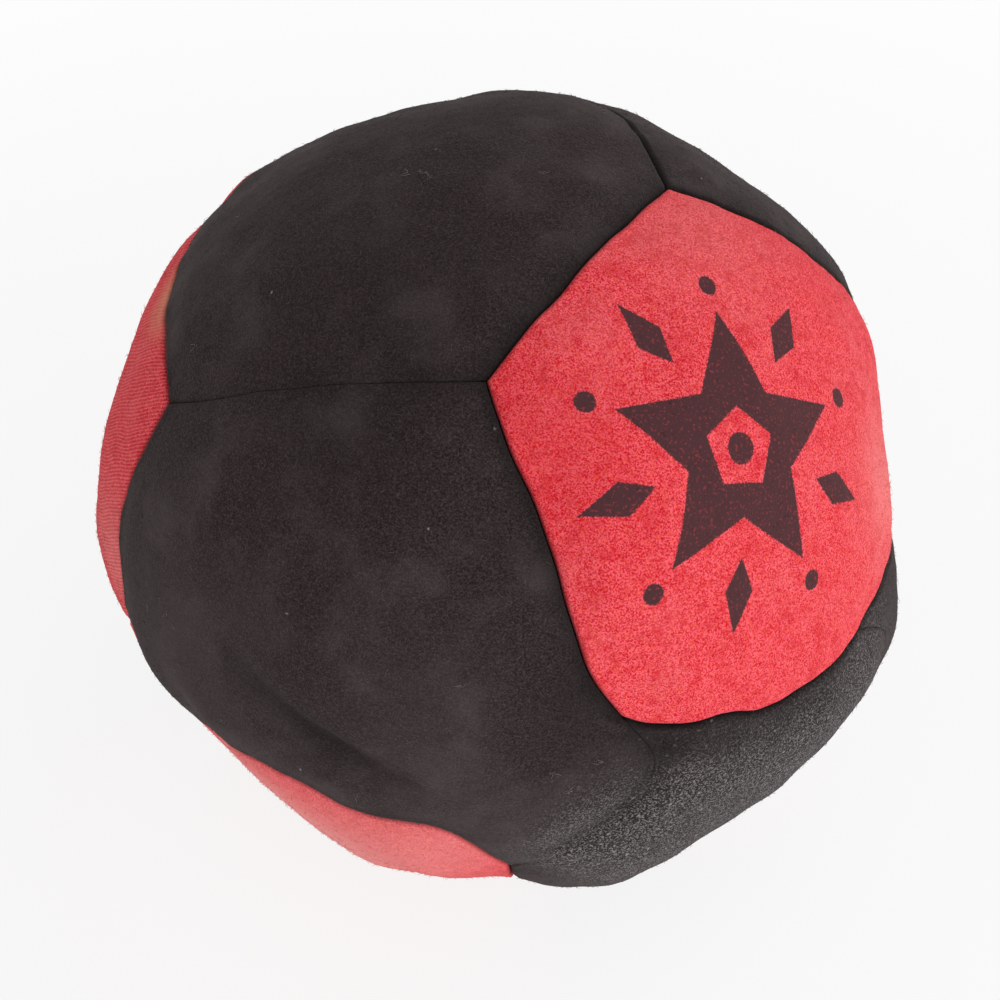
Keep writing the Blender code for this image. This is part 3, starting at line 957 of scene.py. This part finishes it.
# The stretch lines in the left panel, and the tan place at its top
STRETCH_PITCH = 0.00022
STRETCH_HEIGHT = 0.000016
STRETCH_BEND = 3
STRETCH_BEND_LENGTH = 0.0040
STRETCH_BREAK_UP = 0.7
TAN_PX = (178, 280)
TAN_REACH = 0.0050
STRETCH_LAYERS = (
    ("lines", (0.2, 1.0), 0.35, RED_DUSTY),
    ("lines", (-0.2, -1.0), 0.40, RED_DEEP),
    ("tan distance", (TAN_REACH, 0.0), 0.90, RED_TAN),
)

# The print: a five-armed star-burst about one place on the front panel
PRINT_MIDDLE_PX = (742, 448)
PRINT_UP_PX = (722, 330)
STAR_TIP = 0.0076
STAR_NOTCH = 0.0037
STAR_HOLE = 0.00185
STAR_DOT = 0.00088
KITE_NEAR = 0.0058
KITE_WIDEST = 0.0076
KITE_FAR = 0.0099
KITE_HALF_WIDTH = 0.00097
OUTER_DOT_PLACE = 0.0091
OUTER_DOT = 0.00057
PRINT_BLEED = 0.00005
PRINT_ROUGHNESS = 0.00022
PRINT_SINK = 0.000020
PRINT_WEAR_LENGTH = 0.00016
PRINT_WEAR = (0.56, 0.70, 0.80)


def print_distance(nodes, place):
    """How far a point lies outside the print's nearest inked shape, in metres, less than 0 inside it."""
    middle, above = on_bag(PRINT_MIDDLE_PX), on_bag(PRINT_UP_PX)
    upward = unit(above - middle * (above @ middle))
    across, along = (
        nodes.minus(nodes.dot(place, tuple(way)), float(Vector(MIDDLE) @ Vector(way)))
        for way in (np.cross(upward, middle), upward))
    reach = nodes.hypotenuse(across, along)
    turn = nodes.math("ARCTAN2", across, along)
    folded = nodes.math("ABSOLUTE", nodes.math("WRAP", turn, FIFTH_TURN / 2, -FIFTH_TURN / 2))
    star = star_distance(nodes, reach, folded)
    kite = kite_distance(nodes, reach, nodes.minus(FIFTH_TURN / 2, folded))
    return nodes.least(star, nodes.least(kite, outer_dot_distance(nodes, reach, folded)))


def along_way(nodes, reach, angle):
    """How far a polar place lies along the way that its angle starts from."""
    return nodes.times(reach, nodes.math("COSINE", angle))


def across_way(nodes, reach, angle):
    return nodes.times(reach, nodes.math("SINE", angle))


def star_distance(nodes, reach, folded):
    """The star, with a five-sided hole round a dot."""
    tip = np.array((STAR_TIP, 0.0))
    notch = STAR_NOTCH * np.array((math.cos(FIFTH_TURN / 2), math.sin(FIFTH_TURN / 2)))
    edge = notch - tip
    outward = np.array((edge[1], -edge[0])) / np.linalg.norm(edge)
    outward *= math.copysign(1.0, float(outward @ tip))
    way = math.atan2(outward[1], outward[0])
    body = nodes.minus(along_way(nodes, reach, nodes.minus(folded, way)), float(outward @ tip))
    hole = nodes.minus(STAR_HOLE, along_way(nodes, reach, nodes.minus(folded, FIFTH_TURN / 2)))
    return nodes.least(nodes.greatest(body, hole), nodes.minus(reach, STAR_DOT))


def kite_distance(nodes, reach, folded):
    """A slim kite that points outward between two arms of the star."""
    along, across = along_way(nodes, reach, folded), across_way(nodes, reach, folded)
    near_slope = KITE_HALF_WIDTH / (KITE_WIDEST - KITE_NEAR)
    far_slope = KITE_HALF_WIDTH / (KITE_FAR - KITE_WIDEST)
    near = nodes.times(nodes.minus(along, KITE_NEAR), near_slope)
    far = nodes.times(nodes.minus(KITE_FAR, along), far_slope)
    return nodes.minus(across, nodes.least(near, far))


def outer_dot_distance(nodes, reach, folded):
    """A dot past the tip of each arm of the star."""
    along = nodes.minus(along_way(nodes, reach, folded), OUTER_DOT_PLACE)
    return nodes.minus(nodes.hypotenuse(along, across_way(nodes, reach, folded)), OUTER_DOT)


def add_print(nodes, place, colour, fibres):
    """Lays the ink over the suede's colour. Returns the colour and the height that the ink takes away."""
    edge = nodes.times(nodes.minus(fibres, 0.5), PRINT_ROUGHNESS)
    inked = nodes.ramp(nodes.total(print_distance(nodes, place), edge), PRINT_BLEED, -PRINT_BLEED)
    worn = nodes.ramp(nodes.noise(place, PRINT_WEAR_LENGTH), *PRINT_WEAR)
    colour = nodes.mix(inked, colour, nodes.mix(worn, INK, INK_WORN))
    return colour, nodes.times(inked, -PRINT_SINK)


def lying_fibres(nodes, place, share):
    """Layers of fibres that cross one another, a share of each layer's cells filled."""
    most = 0.0
    for layer, shrink in enumerate(STROKE_LAYERS, start=1):
        shifted = nodes.vector("ADD", place, tuple(layer * step for step in NOISE_SHIFT))
        most = nodes.greatest(most, nodes.strokes(shifted, STROKE_LENGTH * shrink, share))
    return most


def suede_values(nodes, place, stroke_share):
    """The values that a suede's layers follow, and its height in metres."""
    fibres = nodes.noise(place, FIBRE_LENGTH, roughness=GRAIN_ROUGHNESS)
    tufts = nodes.noise(place, TUFT_LENGTH, roughness=GRAIN_ROUGHNESS, distortion=TUFT_DISTORTION)
    strokes = lying_fibres(nodes, place, stroke_share)
    both = nodes.math("MULTIPLY_ADD", tufts, TUFT_SHARE, fibres)
    values = {
        "fibres": fibres,
        "grain": nodes.times(both, 1 / (1 + TUFT_SHARE)),
        "strokes": strokes,
        "brushing": nodes.noise(place, **BRUSHING),
        "wear_and_sheen": nodes.attribute("wear_and_painted_sheen"),
        "painted_shade": nodes.attribute("painted_shade_and_light"),
        "lift": nodes.attribute("nap_lift"),
        "seam": nodes.attribute("seam_nearness"),
    }
    heights = ((fibres, FIBRE_HEIGHT), (tufts, TUFT_HEIGHT), (strokes, STROKE_HEIGHT))
    return values, nodes.total(*(nodes.times(value, height) for value, height in heights))


def finish_suede(nodes, colour, height, sheen, sheen_tint):
    """The shader of napped suede, with its relief from a height in metres."""
    bump = nodes.add("Bump", {"Strength": 1.0, "Distance": 1.0, "Height": height})
    shader = nodes.add("BsdfPrincipled", {
        "Base Color": colour,
        "Roughness": SUEDE_ROUGHNESS,
        "Specular IOR Level": SUEDE_SPECULAR,
        "Sheen Weight": sheen,
        "Sheen Roughness": SHEEN_ROUGHNESS,
        "Sheen Tint": sheen_tint,
        "Normal": bump.outputs[0],
    })
    nodes.add("OutputMaterial", {"Surface": shader.outputs[0]})


def stretch_lines(nodes, place, fibres):
    """Fine lines across the pulled suede, as a value from -1 to 1."""
    bend = nodes.times(nodes.noise(place, STRETCH_BEND_LENGTH, detail=1.0), STRETCH_PITCH * STRETCH_BEND)
    break_up = nodes.times(fibres, STRETCH_PITCH * STRETCH_BREAK_UP)
    along = nodes.total(nodes.dot(place, tuple(VIEW[1])), bend, break_up)
    return nodes.math("SINE", nodes.times(along, TURN / STRETCH_PITCH))


def make_red_suede(name, printed=False, stretched=False):
    material, nodes, place = new_material(name)
    values, height = suede_values(nodes, place, STROKE_SHARES["red"])
    shifted = nodes.vector("ADD", place, NOISE_SHIFT)
    values["hue"] = nodes.noise(shifted, TUFT_LENGTH)
    values["mottle"] = nodes.noise(shifted, **MOTTLE)
    colour = nodes.layered(RED_DEEP, RED_LAYERS, values)
    if stretched:
        lines = stretch_lines(nodes, place, values["fibres"])
        height = nodes.total(height, nodes.times(lines, STRETCH_HEIGHT))
        away = nodes.vector("SUBTRACT", place, tuple(on_bag(TAN_PX) * RADIUS + MIDDLE))
        values.update({"lines": lines, "tan distance": nodes.length(away)})
        colour = nodes.layered(colour, STRETCH_LAYERS, values)
    if printed:
        colour, sink = add_print(nodes, place, colour, values["fibres"])
        height = nodes.total(height, sink)
    colour = nodes.layered(colour, RED_FOLD_LAYERS, values)
    finish_suede(nodes, colour, height, *RED_SHEEN)
    return material


def make_black_suede(name):
    material, nodes, place = new_material(name)
    values, height = suede_values(nodes, place, STROKE_SHARES["black"])
    wear_and_sheen = values["wear_and_sheen"]
    values["dusty grain"] = nodes.times(nodes.ramp(values["grain"], *DUSTY_GRAIN), wear_and_sheen)
    crumbs = nodes.noise(nodes.vector("ADD", place, NOISE_SHIFT), CRUMB_LENGTH, roughness=GRAIN_ROUGHNESS)
    pale = nodes.greatest(nodes.times(values["strokes"], CRUMB_STROKES), nodes.ramp(crumbs, *CRUMBS))
    values["crumbs"] = nodes.times(pale, nodes.ramp(wear_and_sheen, *CRUMB_WEAR))
    values["lift"] = nodes.times(values["lift"], nodes.math("MULTIPLY_ADD", wear_and_sheen, LIFT_WORN, LIFT_PLAIN))
    bend = nodes.noise(place, SPECK_BEND_LENGTH, output="Color")
    bent = nodes.add("Mix", {0: SPECK_BEND, 4: place, 5: bend}, data_type="VECTOR").outputs[1]
    values["lint"] = nodes.specks(bent, **LINT_SPECKS)
    values["dust"] = nodes.times(nodes.specks(bent, **DUST_SPECKS), wear_and_sheen)
    finish_suede(nodes, nodes.layered(BLACK_DIM, BLACK_LAYERS, values), height, *BLACK_SHEEN)
    return material


def make_panels():
    finishes = {
        "red": make_red_suede("red suede"),
        "black": make_black_suede("black suede"),
        FRONT_PANEL: make_red_suede("printed red suede", printed=True),
        STRETCHED_PANEL: make_red_suede("stretched red suede", stretched=True),
    }
    for seed, (name, outline) in enumerate(OUTLINES.items(), start=NAP_SEED):
        colour = "red" if "red" in name else "black"
        finish, slot = finishes.get(name, finishes[colour]), f"{colour}_suede"
        panel = Panel(outline)
        face = panel.face_rings()
        suede = make_panel_mesh(f"{name}_suede", panel, face, colour)
        place_piece(suede, finish, name)
        generator = np.random.default_rng(seed)
        roots, outward = nap_roots(face, colour, generator)
        nap = make_strand_mesh(f"{name}_nap", roots, outward, NAP_LIFTS, colour, generator)
        place_piece(nap, finish, None)
    generator = np.random.default_rng(LINT_SEED)
    lint = make_strand_mesh("lint", *lint_roots(generator), LINT_LIFTS, "black", generator)
    place_piece(lint, finishes["black"], None)


# The sand inside: how far it stays from the suede, and where it stands back from the turned-in edges
SAND_INSET = SUEDE_THICKNESS + CLEARANCE
SAND_EDGE_NEAR = INNER_OFFSET + CLEARANCE
SAND_EDGE_FAR = INNER_OFFSET + 5 * CLEARANCE
SAND_EDGE_DEPTH = EDGE_DEPTH + CLEARANCE
SAND_STEPS = 6

# The sand's grains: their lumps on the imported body, and the finer ones of its finish
SAND_LUMP_HEIGHT = 0.00007
SAND_LUMP_LENGTH = 0.0011
SAND_LUMP_WAVES = 40
SAND_LUMP_SEED = 21
SAND_GRAIN_LENGTH = 0.00045
SAND_GRAIN_HEIGHT = 0.0001
SAND_MIDDLING = (0.0, 0.6)
SAND_PALE = (0.6, 1.0)


def make_sand_finish():
    material, nodes, place = new_material("packed sand")
    cells, parts = nodes.cells(place, SAND_GRAIN_LENGTH)
    colour = nodes.mix(nodes.ramp(parts[0], *SAND_MIDDLING), SAND_COLOURS[0], SAND_COLOURS[1])
    colour = nodes.mix(nodes.ramp(parts[1], *SAND_PALE), colour, SAND_COLOURS[2])
    finish_suede(nodes, colour, nodes.times(cells["Distance"], -SAND_GRAIN_HEIGHT), *NO_SHEEN)
    return material


def make_sand():
    """The packed sand: one body that fills the panels and stands back from their turned-in edges."""
    ball = bmesh.new()
    bmesh.ops.create_icosphere(ball, subdivisions=SAND_STEPS, radius=1.0)
    rays = unit(np.array([vertex.co[:] for vertex in ball.verts]))
    away = seam_distances(rays).min(axis=1)
    share = np.clip((SAND_EDGE_FAR - away) / (SAND_EDGE_FAR - SAND_EDGE_NEAR), 0, 1)
    inset = SAND_INSET + (SAND_EDGE_DEPTH - SAND_INSET) * eased(share)
    lumps = np.abs(soft_noise(rays, SAND_LUMP_LENGTH, SAND_LUMP_SEED, waves=SAND_LUMP_WAVES))
    inset = inset + SAND_LUMP_HEIGHT * lumps
    for vertex, point in zip(ball.verts, bag_points(rays) - rays * inset[:, None]):
        vertex.co = point
    mesh = bpy.data.meshes.new("sand_filling_packed")
    ball.to_mesh(mesh)
    ball.free()
    mesh.shade_smooth()
    place_piece(mesh, make_sand_finish(), "sand_filling")


# The thread: two plies twisted together, sewn up and down between the turned-in edges
PLIES = 2
PLY_RADIUS = THREAD_DIAMETER / 4
PLY_SIDES = 6
PLY_TWIST = 0.0012
PLY_FIBRE_LENGTH = 0.00006
PLY_FIBRE_HEIGHT = 0.000012
PLY_PALE = (0.35, 0.65)
THREAD_SAMPLES = 72


def make_thread_finish():
    material, nodes, place = new_material("waxed thread")
    fibres = nodes.noise(place, PLY_FIBRE_LENGTH, roughness=GRAIN_ROUGHNESS)
    colour = nodes.mix(nodes.ramp(fibres, *PLY_PALE), THREAD_DARK, THREAD_PALE)
    finish_suede(nodes, colour, nodes.times(fibres, PLY_FIBRE_HEIGHT), *THREAD_SHEEN)
    return material


def thread_path(seam):
    """The middle line of the thread along a seam, and the way outwards at each of its points."""
    length = seam_length(*seam)
    end_share = INNER_OFFSET / length
    way = np.linspace(0, 1, THREAD_SAMPLES)
    rays = seam_points(*seam, end_share + (1 - 2 * end_share) * way)
    stitches = round(length / STITCH_LENGTH)
    rise = STITCH_RISE * (0.5 - 0.5 * np.cos(TURN * stitches * way))
    points = bag_points(rays) - rays * (THREAD_DEPTH + STITCH_RISE - rise)[:, None]
    return points, rays


def make_thread_mesh(name, seam):
    points, outward = thread_path(seam)
    along = unit(np.gradient(points, axis=0))
    side = unit(np.cross(along, outward))
    up = np.cross(side, along)
    travelled = np.concatenate(((0.0,), np.cumsum(np.linalg.norm(np.diff(points, axis=0), axis=1))))
    angles = TURN * np.arange(PLY_SIDES) / PLY_SIDES
    mesh = bmesh.new()
    for ply in range(PLIES):
        turn = TURN * travelled / PLY_TWIST + TURN * ply / PLIES
        centre = points + (side * np.cos(turn)[:, None] + up * np.sin(turn)[:, None]) * PLY_RADIUS
        rings = []
        for index in range(THREAD_SAMPLES):
            spread = np.outer(np.cos(angles), side[index]) + np.outer(np.sin(angles), up[index])
            rings.append([mesh.verts.new(point) for point in centre[index] + spread * PLY_RADIUS])
        for here, beyond in zip(rings, rings[1:]):
            for a, b in neighbours(PLY_SIDES):
                mesh.faces.new((here[a], here[b], beyond[b], beyond[a]))
        mesh.faces.new(rings[0][::-1])
        mesh.faces.new(rings[-1])
    bmesh.ops.recalc_face_normals(mesh, faces=mesh.faces)
    data = bpy.data.meshes.new(name)
    mesh.to_mesh(data)
    mesh.free()
    data.shade_smooth()
    return data


def make_threads():
    finish = make_thread_finish()
    for number, seam in enumerate(SEAMS, start=1):
        node = f"seam_thread_{number:02d}"
        place_piece(make_thread_mesh(f"{node}_twisted", seam), finish, node)


def make_camera():
    camera = bpy.data.cameras.new("camera")
    camera.sensor_width = SENSOR_WIDTH_MM
    camera.lens = FOCAL_PX / PHOTO_SIDE_PX * SENSOR_WIDTH_MM
    half = PHOTO_SIDE_PX / 2
    camera.shift_x = (half - MIDDLE_PX[0]) / PHOTO_SIDE_PX
    camera.shift_y = (MIDDLE_PX[1] - half) / PHOTO_SIDE_PX
    camera.clip_start, camera.clip_end = (RADIUS * share for share in CLIP_SHARES)
    seat = put_in_scene("camera", camera)
    seat.location = Vector(MIDDLE) + Vector(VIEW[2]) * (RADIUS * CAMERA_DISTANCE_SHARE)
    seat.rotation_euler = (math.radians(90.0 - VIEW_LIFT), 0.0, 0.0)
    bpy.context.scene.camera = seat


# The lamps: the way to each in the view, its distance and size in bag radii, and its power
LAMPS = {
    "key": ((0.90, -0.35, 0.60), 12, 9, 0.54),
    "front": ((0.10, -0.80, 0.70), 12, 10, 0.26),
    "top": ((0.50, 0.75, 0.45), 12, 9, 0.20),
    "left": ((-0.85, -0.45, 0.30), 12, 9, 0.29),
}
WORLD_LIGHT = 0.50
FLOOR_COLOUR = (0.90, 0.90, 0.90, 1.0)
FLOOR_WHITENESS = 0.84
FLOOR_SIZE_SHARE = 120
FLOOR_FADE_SHARES = (1.6, 7.0)


def make_lamp(name, direction, distance, size, power):
    """A soft square lamp that faces the bag's middle."""
    lamp = bpy.data.lights.new(name, "AREA")
    lamp.shape = "SQUARE"
    lamp.size = RADIUS * size
    lamp.energy = power
    seat = put_in_scene(name, lamp)
    away = Vector(unit(from_view(direction)))
    seat.location = Vector(MIDDLE) + away * RADIUS * distance
    seat.rotation_mode = "QUATERNION"
    seat.rotation_quaternion = away.to_track_quat("Z", "Y")


def seen_directly(nodes):
    """1 for what the camera sees, straight, in a reflection or through glass, and 0 for light on the bag."""
    path = nodes.add("LightPath").outputs
    seen = nodes.greatest(path["Is Camera Ray"], path["Is Glossy Ray"])
    return nodes.greatest(seen, path["Is Transmission Ray"])


def make_world():
    """Even light from all round, and pure white where the camera sees past the floor."""
    world = bpy.data.worlds.new("studio")
    bpy.context.scene.world = world
    nodes = Nodes(world)
    light, white = (
        nodes.add("Background", {"Color": WHITE, "Strength": strength}).outputs[0]
        for strength in (WORLD_LIGHT, 1.0))
    nodes.add("OutputWorld", {"Surface": nodes.blend(seen_directly(nodes), light, white)})


def make_floor():
    """A matt pale floor that takes the bag's shadow, and fades to white away from it."""
    material, nodes, place = new_material("pale floor")
    near, far = (RADIUS * share for share in FLOOR_FADE_SHARES)
    whiteness = nodes.ramp(nodes.length(place), near, far, 1.0, FLOOR_WHITENESS)
    matt = nodes.add("BsdfDiffuse", {"Color": FLOOR_COLOUR}).outputs[0]
    glow = nodes.add("Emission").outputs[0]
    surface = nodes.blend(nodes.times(seen_directly(nodes), whiteness), matt, glow)
    nodes.add("OutputMaterial", {"Surface": surface})
    bpy.ops.mesh.primitive_plane_add(size=RADIUS * FLOOR_SIZE_SHARE)
    floor = bpy.context.object
    floor.name = "floor"
    floor.location = (0.0, 0.0, -SEAM_GAP)
    floor.data.materials.append(material)


make_camera()
make_panels()
make_sand()
make_threads()
make_world()
make_floor()
for lamp_name, (direction, distance, size, power) in LAMPS.items():
    make_lamp(lamp_name, direction, distance, size, power)
bpy.context.scene.view_settings.view_transform = "Standard"
